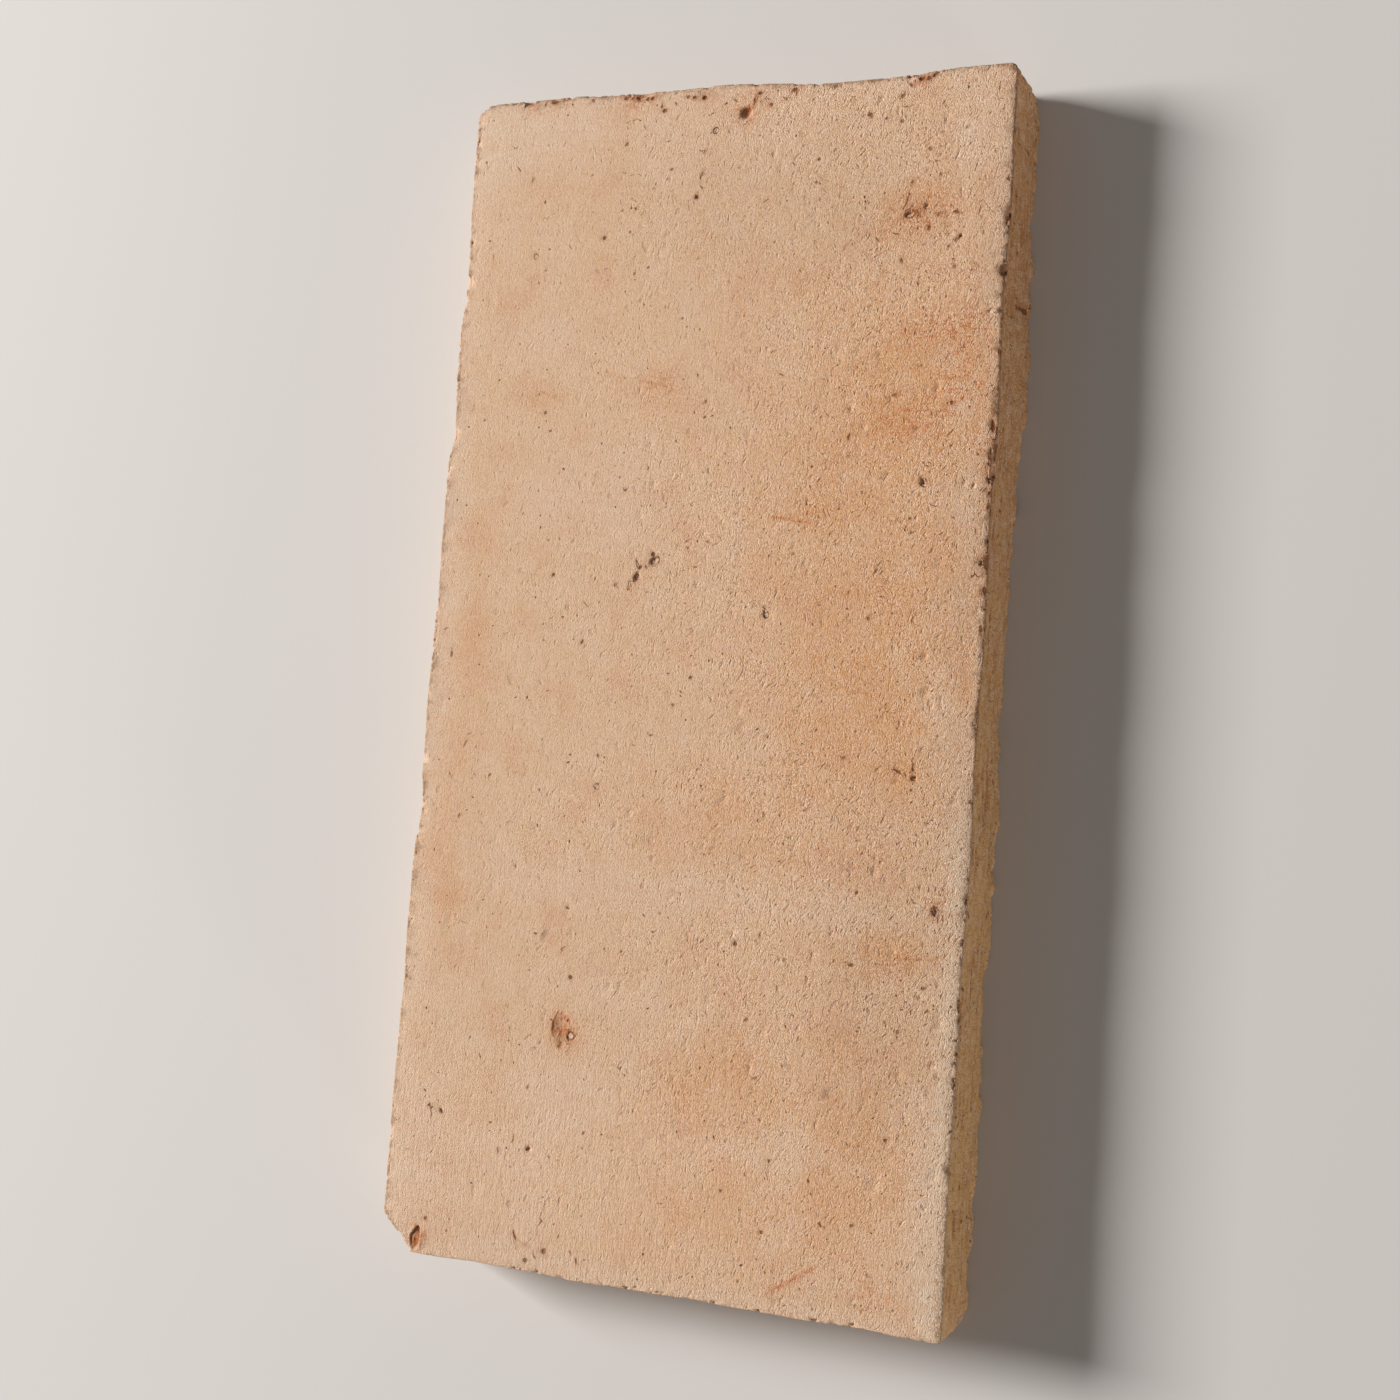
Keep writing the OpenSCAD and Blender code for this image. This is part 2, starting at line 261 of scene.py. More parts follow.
# Orange streaks drawn across the face: from east, from north, to east, to north, width, strength
ORANGE_STREAKS = (
    (59, -64.8, 68, -64.2, 1.8, 0.9),
    (51, -70, 59, -65.3, 1.2, 0.8),
    (31, -145.5, 43, -137.5, 1.8, 0.8),
    (46, 64.5, 60, 62, 2.6, 0.9),
    (53, 87.5, 70, 84, 2.8, 0.8),
    (66, 88, 68, 80, 2.4, 0.7),
    (52, 75, 64, 73, 1.6, 0.6),
)

# The same, but too fine for the slab's grid, so that they belong to the material alone
FINE_STREAKS = (
    (19, 38.8, 29, 37.4, 0.7, 1),
    (-18, 73, -11, 71.5, 0.7, 0.5),
    (60, -64.7, 68, -64.3, 0.8, 0.6),
    (32, -145, 43, -137.5, 0.9, 0.8),
)

# Broad zones that the fire left warmer: east, north, half width, half length, strength
WARM_ZONES = (
    (44, 32, 36, 72, 0.5),
    (45, -5, 24, 30, 0.25),
    (56, 70, 22, 20, 0.45),
    (70, 88, 8, 8, 0.4),
    (50, 115, 11, 9, 0.45),
    (74.5, 32, 4, 52, 0.9),
    (58, -64, 20, 8, 0.5),
    (58, -22, 9, 7, 0.35),
    (17, -98, 20, 14, 0.5),
    (45, -86, 8, 8, 0.3),
    (52, -112, 14, 26, 0.4),
    (10, -36, 34, 14, 0.3),
    (-45, -136, 34, 14, 0.25),
    (20, -126, 24, 8, 0.3),
    (-66, -10, 10, 60, 0.35),
    (-64, -58, 9, 12, 0.3),
    (30, 40, 18, 5, 0.2),
    (-15, 70, 8, 6, 0.35),
    (-46, 69, 6, 6, 0.3),
    (-30, -90, 9, 9, 0.35),
    (15, 95, 25, 18, 0.15),
)

# Broad zones that lime and salt left paler: the same
PALE_ZONES = (
    (-32, 45, 24, 16, 0.45),
    (0, -54, 62, 6, 0.55),
    (-26, -108, 18, 12, 0.55),
    (32, -113, 26, 7, 0.4),
    (-18, -82, 20, 8, 0.3),
    (-50, 85, 24, 8, 0.3),
    (0, 136, 75, 12, 0.3),
    (-60, 142, 26, 11, 0.75),
    (-70, 132, 8, 24, 0.5),
    (-45, -134, 36, 20, 0.45),
    (-66, -120, 8, 30, 0.4),
    (66, 138, 12, 14, 0.5),
    (62, 128, 6, 10, 0.3),
    (71, -118, 8, 36, 0.8),
    (71, -143, 6, 12, 0.8),
    (69, -50, 6, 38, 0.4),
    (66, -8, 6, 15, 0.5),
    (-73, 0, 6, 160, 0.65),
    (61, 77, 5, 4, 0.6),
    (67, 66, 4, 7, 0.5),
    (70, 42, 4, 7, 0.6),
    (-10, -96, 3, 5, 0.6),
    (-26, -148, 40, 4, 0.6),
)

# Broad zones where the walking face is darker, or lighter where the strength is below 0: the same
DULL_ZONES = (
    (14, 118, 48, 26, 0.5),
    (40, 112, 20, 14, 0.3),
    (58, -65, 26, 50, 0.8),
    (66, 30, 8, 24, 0.5),
    (56, -80, 14, 34, 0.4),
    (70, 105, 7, 28, 0.5),
    (67, -2, 7, 40, 0.5),
    (0, -122, 90, 24, -0.35),
    (72, -38, 5, 26, 0.8),
    (72, 28, 4, 34, 1),
    (74, 116, 3, 30, 0.5),
    (-75, 0, 3, 160, 0.9),
    (-73, 70, 4, 50, 0.4),
)


def srgb(code):
    """A colour written as six hex digits, as linear red, green and blue."""
    shades = [int(code[i : i + 2], 16) / 255 for i in (0, 2, 4)]
    return tuple(s / 12.92 if s <= 0.04045 else ((s + 0.055) / 1.055) ** 2.4 for s in shades)


def colour_property(name, description, code):
    """A colour that the user can change."""
    return bpy.props.FloatVectorProperty(
        name=name, description=description, subtype="COLOR", size=3, min=0, max=1, default=srgb(code)
    )


def number_property(name, description, default, **settings):
    """A number that the user can change, not below 0 unless the settings say so."""
    settings = {"min": 0, **settings}
    return bpy.props.FloatProperty(name=name, description=description, default=default, **settings)


def length_property(name, description, default):
    """A length that the user can change, with its default in millimetres."""
    settings = {"subtype": "DISTANCE", "unit": "LENGTH", "precision": 5}
    return number_property(name, description, default * MM, **settings)


def place_property(name, description, default):
    """A place in metres that the user can change."""
    return bpy.props.FloatVectorProperty(
        name=name, description=description, default=default, subtype="XYZ", unit="LENGTH"
    )


class TERRACOTTA_PG_relief(bpy.types.PropertyGroup):
    """Sizes of the slab's relief."""

    voxel: length_property("Voxel", "Grid on which the slab is carved", 0.34)
    wave: length_property("Wave", "Depth of the slow waves in the walking face", 0.14)
    dent: length_property("Dent", "Depth of the soft dents in the walking face", 0.27)
    tick: length_property("Tick", "Depth of the slanted ticks that dragged sand left", 0.17)
    pore: length_property("Pore", "Depth of the small scattered pores", 0.16)
    grain: length_property("Grain", "Height of the finest roughness of the clay", 0.13)
    nodule: length_property("Nodule", "Height of the lumps inside the pits", 0.9)
    crater: length_property("Crater", "Depth of the small steep craters in the walking face", 0.09)
    comb: length_property("Comb", "Height of the fine comb marks in the south", 0.12)
    pit: length_property("Pit", "Depth of the fine rims inside the pits", 0.4)
    wear: length_property("Wear", "How far the arrises have crumbled away", 0.7)
    drag: length_property("Drag", "Depth of the wire's drag marks along the cut sides", 0.45)
    foot: length_property("Foot", "How far the foot of a cut side is torn away", 1.9)
    triangles: bpy.props.IntProperty(
        name="Triangles",
        description="Most triangles in the finished slab",
        default=197000,
        min=20000,
        max=199000,
    )


class TERRACOTTA_PG_colours(bpy.types.PropertyGroup):
    """Colours of the fired clay."""

    pale: colour_property("Pale clay", "The pinkish buff of most of the face", "d6b394")
    warm: colour_property("Warm clay", "The warmer buff where the fire was hotter", "cf9c6f")
    cream: colour_property("Cream", "The salt-bleached rims and blooms", "d9bfa8")
    orange: colour_property("Orange", "Patches that the fire burnt orange", "bd6c38")
    pink: colour_property("Pink", "Faint pink clouds in the clay", "cfa18a")
    ochre: colour_property("Ochre", "Faint ochre clouds in the clay", "c69f74")
    light: colour_property("Light grains", "The palest grains of the sand", "ebdccd")
    rust: colour_property("Rust", "The clay's red-brown body inside chips and pits", "9a5c32")
    # Dark bottoms of pits and pores: partly the clay's dark body, partly painted shade
    dark: colour_property("Dark", "The bottoms of pits and pores", "5f300f")
    # The colour of dirt on the worn arrises, also used as painted shade along their edges
    grime_and_shade: colour_property("Grime", "Dirt that clings to the worn arrises", "7e5c42")
    # The east cut side's ochre: partly its clay, partly a painted warm shade
    side: colour_property("Side", "The cut sides", "d3a66d")
    # The pale burr: partly cream, partly a painted highlight on its lit slope
    ridge_cream_and_highlight: colour_property("Ridge", "The pale burr along the east arris", "dac4ab")


class TERRACOTTA_PG_studio(bpy.types.PropertyGroup):
    """The studio round the tile."""

    floor: colour_property("Floor", "The plain pale floor", "d2cfcd")
    lens: number_property("Lens", "Focal length", 55.9, min=20, max=200, unit="CAMERA")
    camera: place_property("Camera", "Its place from the middle of the face", (0.2276, -0.0371, 0.4848))
    aim: place_property("Aim", "The point looked at, from the middle of the face", (0.0014, 0.0181, 0))
    roll: number_property(
        "Roll", "Turn of the camera about its view", math.radians(4.32), min=-math.pi, subtype="ANGLE"
    )
    rise: number_property(
        "Rise", "How far the view is shifted down, as a share of its width", 0.0723, max=0.5
    )
    key: number_property("Key", "Power of the high lamp in the west, in watts", 190)
    bounce: number_property("Bounce", "Power of the low lamp in the south-east, in watts", 222)
    fill: number_property("Fill", "Strength of the pale surroundings", 0.18)


# ---- Formulas as nodes ----


class Value:
    """A socket that takes part in a formula, in a shader tree or a geometry tree."""

    def __init__(self, net, socket):
        self.net = net
        self.socket = socket

    def __add__(self, other):
        return self.net.math("ADD", self, other)

    def __sub__(self, other):
        return self.net.math("SUBTRACT", self, other)

    def __rsub__(self, other):
        return self.net.math("SUBTRACT", other, self)

    def __mul__(self, other):
        return self.net.math("MULTIPLY", self, other)

    def __truediv__(self, other):
        return self.net.math("DIVIDE", self, other)

    def __abs__(self):
        return self.net.math("ABSOLUTE", self)

    __radd__ = __add__


class Net:
    """Writes formulas as nodes in one tree, whose noise and cells all have the same dimensions."""

    def __init__(self, tree, dimensions="3D"):
        self.tree = tree
        self.dimensions = dimensions

    def put(self, value, socket):
        """Links a Value to a socket, or writes a plain number, colour or vector on it."""
        if isinstance(value, Value):
            self.tree.links.new(value.socket, socket)
        else:
            socket.default_value = value

    def node(self, kind, inputs=None, **settings):
        """A new node with its settings, and its inputs by name or number."""
        made = self.tree.nodes.new(kind)
        for name, setting in settings.items():
            setattr(made, name, setting)
        for name, value in (inputs or {}).items():
            self.put(value, made.inputs[name])
        return made

    def out(self, made, name=0):
        """A node's output, by name or number."""
        return Value(self, made.outputs[name])

    def math(self, operation, *values):
        """One step of arithmetic on numbers."""
        made = self.node("ShaderNodeMath", dict(enumerate(values)), operation=operation)
        return self.out(made)

    def vector(self, operation, *values):
        """One step of arithmetic on vectors."""
        made = self.node("ShaderNodeVectorMath", dict(enumerate(values)), operation=operation)
        return self.out(made, "Value" if operation in ("DISTANCE", "DOT_PRODUCT") else "Vector")

    def scaled(self, vector, factor):
        """A vector times a number."""
        inputs = {"Vector": vector, "Scale": factor}
        return self.out(self.node("ShaderNodeVectorMath", inputs, operation="SCALE"))

    def parts(self, vector):
        """A vector's three numbers."""
        made = self.node("ShaderNodeSeparateXYZ", {0: vector})
        return [self.out(made, axis) for axis in "XYZ"]

    def joined(self, x, y, z):
        """A vector from three numbers."""
        return self.out(self.node("ShaderNodeCombineXYZ", {"X": x, "Y": y, "Z": z}))

    def smooth(self, value, low, high):
        """0 at low, 1 at high and a soft passage between; low may be the higher number."""
        inputs = {"Value": value, "From Min": low, "From Max": high}
        return self.out(self.node("ShaderNodeMapRange", inputs, interpolation_type="SMOOTHSTEP"))

    def larger(self, a, b):
        return self.math("MAXIMUM", a, b)

    def smaller(self, a, b):
        return self.math("MINIMUM", a, b)

    def noise(self, place, size, detail=2, rough=0.5, output=0):
        """Cloudy noise from about 0.25 to 0.75, whose clouds are about size across."""
        inputs = {"Vector": place, "Scale": 1 / size, "Detail": detail, "Roughness": rough}
        made = self.node("ShaderNodeTexNoise", inputs, noise_dimensions=self.dimensions)
        return self.out(made, output)

    def cells(self, place, size):
        """The distance to the nearest of seeds about size apart, over size, and its three dice."""
        inputs = {"Vector": place, "Scale": 1 / size}
        made = self.node("ShaderNodeTexVoronoi", inputs, voronoi_dimensions=self.dimensions)
        return self.out(made, "Distance"), self.parts(self.out(made, "Color"))

    def blend(self, share, low, high):
        """A colour between two colours."""
        made = self.node("ShaderNodeMix", data_type="RGBA", clamp_factor=True)
        self.put(share, made.inputs[0])
        for colour, socket in ((low, made.inputs[6]), (high, made.inputs[7])):
            self.put(colour if isinstance(colour, Value) else (*colour, 1), socket)
        return self.out(made, 2)


# ---- Fields that the relief and the colours share; places are in millimetres ----


def turned(net, place, turn, stretch):
    """The place turned about Z, with its first axis squeezed so that a round mark comes out long."""
    inputs = {"Vector": place, "Angle": -math.radians(turn)}
    made = net.node("ShaderNodeVectorRotate", inputs, rotation_type="Z_AXIS")
    return net.vector("MULTIPLY", net.out(made), (1 / stretch, 1, 1))


def shaken(net, place, size, reach, detail=1):
    """The place pushed about by cloudy noise, so that no row or grid shows."""
    push = net.vector("SUBTRACT", net.noise(place, size, detail, output="Color"), (0.5, 0.5, 0.5))
    return net.vector("ADD", place, net.scaled(push, reach))


def scattered(net, place, ragged, spacing, share, small, large, rag=0.45, floor=0.2):
    """Ragged bowls at a share of the seeds, small to large in radius, each with its own depth.

    rag is how far the ragged noise pushes the rim, and floor how much of the radius is flat.
    """
    distance, dice = net.cells(place, spacing)
    radius = small / spacing + dice[0] * dice[0] * ((large - small) / spacing)
    bowl = net.smooth(distance * (1 - rag + ragged * (2 * rag)), radius, radius * floor)
    return bowl * net.math("LESS_THAN", dice[1], share) * (0.35 + dice[2])


def coarseness(net, place):
    """How coarse the skin of the walking face is: smooth in the west and south, sandy in the east."""
    east, north, _ = net.parts(place)
    slope = net.smooth(east + (net.noise(place, 30) - 0.5) * 130, -60, 60)
    patchy = 0.6 + net.smooth(net.noise(place, 9, 3, 0.6), 0.35, 0.65) * 0.6
    return slope * patchy * (0.6 + net.smooth(north, -140, -70) * 0.4)


def dents(net, place, coarse):
    """Soft dents, longer than wide, leaning a little to the east."""
    ragged = net.noise(place, 2, 2, 0.6)
    moved = shaken(net, place, 9, 4)
    wide = turned(net, moved, 70, 1.8)
    wide = scattered(net, wide, ragged, 5.5, share=0.35, small=0.7, large=2.3, rag=0.55, floor=0)
    narrow = turned(net, moved, 74, 1.8)
    narrow = scattered(net, narrow, ragged, 2.6, share=0.24, small=0.4, large=1.2, rag=0.55, floor=0)
    return wide * (0.4 + coarse * 0.7) + narrow * (0.5 + coarse)


def craters(net, place, ragged, coarse):
    """Small steep craters where sand grains fell out."""
    leaning = turned(net, place, 72, 1.3)
    share = 0.2 + coarse * 0.4
    return scattered(net, leaning, ragged, 2.9, share, small=0.3, large=0.85, rag=0.6, floor=0.4)


def ticks(net, place, ragged, coarse):
    """Narrow slanted ticks, torn by dragged sand."""
    leaning = turned(net, place, 62, 2.2)
    leaning = scattered(net, leaning, ragged, 1.4, share=0.3, small=0.2, large=0.5)
    upright = turned(net, place, 84, 1.7)
    upright = scattered(net, upright, ragged, 1.2, share=0.3, small=0.18, large=0.42)
    return net.larger(leaning, upright) * (0.35 + coarse * 0.65)


def pores(net, place, ragged, coarse):
    """Small deep pores."""
    large = scattered(net, place, ragged, 3.2, share=0.18, small=0.25, large=0.55, rag=0.5)
    small = scattered(net, place, ragged, 1.1, share=0.22, small=0.16, large=0.34, rag=0.5)
    return net.larger(large, small * (0.25 + coarse * 0.6))


def zone_field(net, place, zones):
    """How far a point lies inside soft oval zones, from 0 to 1."""
    east, north, _ = net.parts(place)
    total = 0
    for x, y, half_width, half_length, strength in zones:
        across = (east - x) / half_width
        along = (north - y) / half_length
        away = net.math("SQRT", across * across + along * along)
        total = net.smooth(away, 1.35, 0.15) * strength + total
    return net.smaller(total, 1)


def streak_field(net, place, streaks):
    """The strength of the nearest straight streak, for a place on the walking face."""
    total = 0
    for x0, y0, x1, y1, width, strength in streaks:
        run = Vector((x1 - x0, y1 - y0, 0))
        offset = net.vector("SUBTRACT", place, (x0, y0, 0))
        along = net.vector("DOT_PRODUCT", offset, tuple(run / run.length_squared))
        along = net.smaller(net.larger(along, 0), 1)
        away = net.vector("DISTANCE", offset, net.scaled(tuple(run), along))
        total = net.larger(total, net.smooth(away, width, 0) * strength)
    return total


# ---- The slab ----


def placed(name, data):
    """A new object in the scene."""
    thing = bpy.data.objects.new(name, data)
    bpy.context.collection.objects.link(thing)
    return thing


def stored(net, geometry, name, value, kind="FLOAT"):
    """The geometry with a value kept on its points."""
    inputs = {"Geometry": geometry, "Name": name}
    made = net.node("GeometryNodeStoreNamedAttribute", inputs, data_type=kind, domain="POINT")
    net.put(value, made.inputs["Value"])
    return net.out(made, "Geometry")


def pit_points():
    """A mesh of loose points, one in each pit, that carries the pits' sizes."""
    pits = [(*pit, 0) for pit in PITS] + [(*pit, 1) for pit in RINGED_PITS]
    mesh = bpy.data.meshes.new("pit_points")
    mesh.from_pydata([(pit[0] * MM, pit[1] * MM, FACE_Z) for pit in pits], [], [])
    for column, name in enumerate(("width", "longer", "turn", "depth", "rust", "ring"), start=2):
        layer = mesh.attributes.new("pit_" + name, "FLOAT", "POINT")
        layer.data.foreach_set("value", [float(pit[column]) for pit in pits])
    return placed("pit_points", mesh)


def pit_fields(net, points, place):
    """The place in the nearest pit, in half lengths and half widths, and a reader of its sizes."""
    info = net.node("GeometryNodeObjectInfo", {"Object": points}, transform_space="ORIGINAL")
    pits = net.out(info, "Geometry")
    nearest = net.out(net.node("GeometryNodeSampleNearest", {"Geometry": pits}, domain="POINT"))

    def sample(value, kind):
        """A value at the nearest pit."""
        made = net.node("GeometryNodeSampleIndex", {"Geometry": pits, "Index": nearest}, data_type=kind)
        net.put(value, made.inputs["Value"])
        return net.out(made)

    def trait(name):
        """One of the nearest pit's sizes."""
        made = net.node("GeometryNodeInputNamedAttribute", {"Name": "pit_" + name}, data_type="FLOAT")
        return sample(net.out(made), "FLOAT")

    centre = sample(net.out(net.node("GeometryNodeInputPosition")), "FLOAT_VECTOR")
    x, y, _ = net.parts(net.vector("SUBTRACT", place, net.scaled(centre, 1 / MM)))
    turn = trait("turn") * (math.pi / 180)
    cos = net.math("COSINE", turn)
    sin = net.math("SINE", turn)
    half = trait("width") / 2
    along = (x * cos + y * sin) / (half * trait("longer"))
    across = (y * cos - x * sin) / half
    return along, across, trait


# The relief's sizes that the node group takes as inputs
RELIEF_SIZES = ("Wave", "Dent", "Grain", "Nodule", "Wear", "Drag", "Foot")
# How many times rougher the grain is on the cut sides
SIDE_GRAIN = 4
# How many times longer than high the wire's drag marks are
DRAG_STRETCH = 9
# How high the torn foot reaches, and where it fades behind the slab's box, in millimetres
FOOT_HEIGHT = 6
FOOT_BAND = (0.5, 4.5)


class Spot:
    """What the relief reads at a point of the slab, in millimetres."""

    def __init__(self, net, given):
        self.net = net
        self.given = given
        self.geometry = net.out(given, "Geometry")
        self.normal = net.out(net.node("GeometryNodeInputNormal"))
        self.place = net.scaled(net.out(net.node("GeometryNodeInputPosition")), 1 / MM)
        self.east, self.north, self.height = net.parts(self.place)
        self.facing = net.parts(self.normal)[2]
        steep = abs(self.facing)
        self.face = net.smooth(self.facing, 0.55, 0.9)
        self.wall = net.smooth(steep, 0.75, 0.35)
        self.to_wall = self.distance_to(net.math("LESS_THAN", steep, 0.25))
        self.to_face = self.distance_to(net.math("GREATER_THAN", self.facing, 0.95))
        self.arris = net.smooth(self.to_wall + self.to_face, 1.9, 0.5)
        self.coarse = coarseness(net, self.place)
        self.crumb = net.smooth(net.noise(self.place, 1.8, 3, 0.65), 0.5, 0.66)
        self.gaps = net.smooth(net.noise(self.place, 9), 0.42, 0.62)

    def size(self, name):
        """One of the node group's sizes."""
        return self.net.out(self.given, name) / MM

    def distance_to(self, selection):
        """How far the point lies from the chosen faces of the slab."""
        net = self.net
        chosen = {"Geometry": self.geometry, "Selection": selection}
        part = net.node("GeometryNodeSeparateGeometry", chosen, domain="FACE")
        near = net.node("GeometryNodeProximity", {0: net.out(part, "Selection")}, target_element="FACES")
        return net.out(near, "Distance") / MM


def face_depth(spot):
    """How deep the walking face is carved by slow waves and dents, and the whole slab by grain."""
    net, place, coarse, face = spot.net, spot.place, spot.coarse, spot.face
    wave = net.noise(place, 38, 1) * spot.size("Wave") * face
    dent = dents(net, place, coarse) * spot.size("Dent") * face
    grain = net.noise(place, 2.4, 3, 0.65) * spot.size("Grain") * (0.25 + coarse * 0.3)
    return wave + (dent + grain * (face + spot.wall * SIDE_GRAIN))


def wall_depth(spot):
    """How deep the cut sides are carved: the wire's drag grooves in patches, and rough lumps."""
    net, place = spot.net, spot.place
    drawn = net.joined(spot.east / DRAG_STRETCH, spot.north / DRAG_STRETCH, spot.height)
    patches = net.smooth(net.noise(place, 15), 0.45, 0.6)
    groove = net.smooth(net.noise(drawn, 1.6, 3, 0.6), 0.45, 0.7) * patches
    lumps = net.noise(place, 2.6, 4, 0.65)
    return (groove + lumps) * spot.size("Drag") * spot.wall


def pit_depth(spot, reach, trait):
    """How deep the pits are carved in their places, less their rough floors."""
    net, place = spot.net, spot.place
    bowl = net.smooth(reach * (0.35 + net.noise(place, 1, 3, 0.6) * 1.3), 1.1, 0.3)
    floors = 0
    for x, y, half_width, half_length, lift in ROUGH_FLOORS:
        across = (spot.east - x) * (spot.east - x) / half_width**2
        along = (spot.north - y) * (spot.north - y) / half_length**2
        floors = floors + net.smooth(net.math("SQRT", across + along), 1, 0.5) * lift
    lumpy = (net.noise(place, 0.9, 2, 0.6) - 0.5) * net.smooth(floors, 0, 0.3) * spot.size("Nodule")
    broad = net.smooth(trait("width"), 0.6, 1.6)
    return (bowl * broad * trait("depth") * 0.5 + lumpy - floors) * spot.face


def torn_foot(spot):
    """The offset that draws the torn foot of the cut sides in towards the middle of the slab."""
    net, east, north = spot.net, spot.east, spot.north
    torn = net.smooth(net.noise(spot.place, 12, 5, 0.55), 0.33, 0.7)
    torn = torn * net.smooth(spot.height, FOOT_HEIGHT, 0.5)
    outer, inner = FOOT_BAND
    near_x = net.smooth(abs(east), HALF_W / MM - inner, HALF_W / MM - outer)
    near_y = net.smooth(abs(north), HALF_L / MM - inner, HALF_L / MM - outer)
    inward = net.joined(net.math("SIGN", east) * near_x, net.math("SIGN", north) * near_y, 0)
    return net.scaled(inward, torn * spot.size("Foot") * (-MM))


def kept_masks(spot, shaped, across, along, trait):
    """The carved geometry with the masks that its colours follow kept on its points."""
    net, place, face = spot.net, spot.place, spot.face
    to_wall, to_face = spot.to_wall, spot.to_face
    away = (1 - face) * 4
    pit_place = net.joined(along + away, across + away, 0)
    shaped = stored(net, shaped, "pit_place", pit_place, kind="FLOAT_VECTOR")
    broken = net.smooth(net.smaller(to_wall, to_face), 0.3, 0.7) * net.smooth(spot.height, 2, 8)
    uneven = to_wall + to_face - net.smooth(net.noise(place, 3, 3, 0.6), 0.45, 0.7) * 1.5
    loose = shaken(net, place, 16, 14)
    clouds = net.noise(place, 42, 3, 0.55)
    slope = net.smooth(spot.east + (clouds - 0.5) * 110, -60, 85)
    warm = zone_field(net, loose, WARM_ZONES) + slope * 0.35
    patches = zone_field(net, place, ORANGE_PATCHES)
    streaks = streak_field(net, net.joined(spot.east, spot.north, 0), ORANGE_STREAKS)
    masks = {
        "pit_depth": trait("depth"),
        "pit_rust": trait("rust"),
        "pit_ring": trait("ring"),
        "arris": net.smooth(uneven, 1.4, 0.6) * net.smooth(spot.facing, -0.3, 0.2),
        "broken": net.larger(broken, spot.arris * spot.crumb * spot.gaps),
        "coarse": spot.coarse,
        "warm": net.smaller(warm, 1),
        "pale": zone_field(net, loose, PALE_ZONES),
        "dull": zone_field(net, loose, DULL_ZONES),
        "rim": net.smooth(to_wall + (net.noise(place, 6, 4, 0.6) - 0.5) * 12, 8, 0),
        "orange": net.larger(patches, streaks),
        "rusty": zone_field(net, place, RUSTY_FLOORS) * face,
    }
    for name, mask in masks.items():
        shaped = stored(net, shaped, name, mask)
    return shaped


def relief_tree():
    """The node group that carves the slab's relief and keeps the masks that its colours follow."""
    tree = bpy.data.node_groups.new("Slab relief", "GeometryNodeTree")
    kinds = {"Geometry": "NodeSocketGeometry", "Pits": "NodeSocketObject", "Clay": "NodeSocketMaterial"}
    for name in ("Geometry", "Pits", *RELIEF_SIZES, "Clay"):
        kind = kinds.get(name, "NodeSocketFloat")
        tree.interface.new_socket(name=name, in_out="INPUT", socket_type=kind)
    tree.interface.new_socket(name="Geometry", in_out="OUTPUT", socket_type="NodeSocketGeometry")

    net = Net(tree)
    given = net.node("NodeGroupInput")
    result = net.node("NodeGroupOutput")
    spot = Spot(net, given)
    along, across, trait = pit_fields(net, net.out(given, "Pits"), spot.place)
    reach = net.math("SQRT", along * along + across * across)
    worn = spot.arris * spot.crumb * (0.2 + spot.gaps) * spot.size("Wear")
    depth = face_depth(spot) + wall_depth(spot) + worn + pit_depth(spot, reach, trait)
    carved = net.scaled(spot.normal, depth * (-MM))
    offset = net.vector("ADD", carved, torn_foot(spot))
    moved = net.node("GeometryNodeSetPosition", {"Geometry": spot.geometry, "Offset": offset})
    shaped = kept_masks(spot, net.out(moved), across, along, trait)
    real = net.node("GeometryNodeRealizeInstances", {"Geometry": shaped})
    dressed = {"Geometry": net.out(real), "Material": net.out(given, "Clay")}
    painted = net.node("GeometryNodeSetMaterial", dressed)
    net.put(net.out(painted), result.inputs[0])
    return tree


# Points of the solid closer than this, in metres, are one point
SAME_PLACE = 1e-6


def set_input(modifier, name, value):
    """Sets a node group's input on its modifier, by the socket's identifier."""
    for item in modifier.node_group.interface.items_tree:
        if item.item_type == "SOCKET" and item.in_out == "INPUT" and item.name == name:
            modifier[item.identifier] = value
            return
    raise RuntimeError("the relief has no input named " + name)


def triangle_count(mesh):
    """How many triangles a mesh has."""
    return sum(len(polygon.vertices) - 2 for polygon in mesh.polygons)


def settle(thing, name):
    """Keeps what an object's modifiers make of it as its own plain mesh, without them."""
    bpy.context.view_layer.update()
    graph = bpy.context.evaluated_depsgraph_get()
    mesh = bpy.data.meshes.new_from_object(thing.evaluated_get(graph), depsgraph=graph)
    mesh.name = name
    thing.modifiers.clear()
    thing.data = mesh
    return mesh


def slab_copy():
    """A closed copy of the slab's solid, with its loose triangles merged."""
    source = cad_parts[NODE]
    shape = bmesh.new()
    shape.from_mesh(source.data)
    bmesh.ops.remove_doubles(shape, verts=shape.verts, dist=SAME_PLACE)
    mesh = bpy.data.meshes.new("slab")
    shape.to_mesh(mesh)
    shape.free()
    return placed("slab", mesh)


def kept_inside(mesh):
    """Draws in any point that stands proud of the solid's own box."""
    for vertex in mesh.vertices:
        for axis in range(3):
            vertex.co[axis] = min(max(vertex.co[axis], LOW[axis]), HIGH[axis])


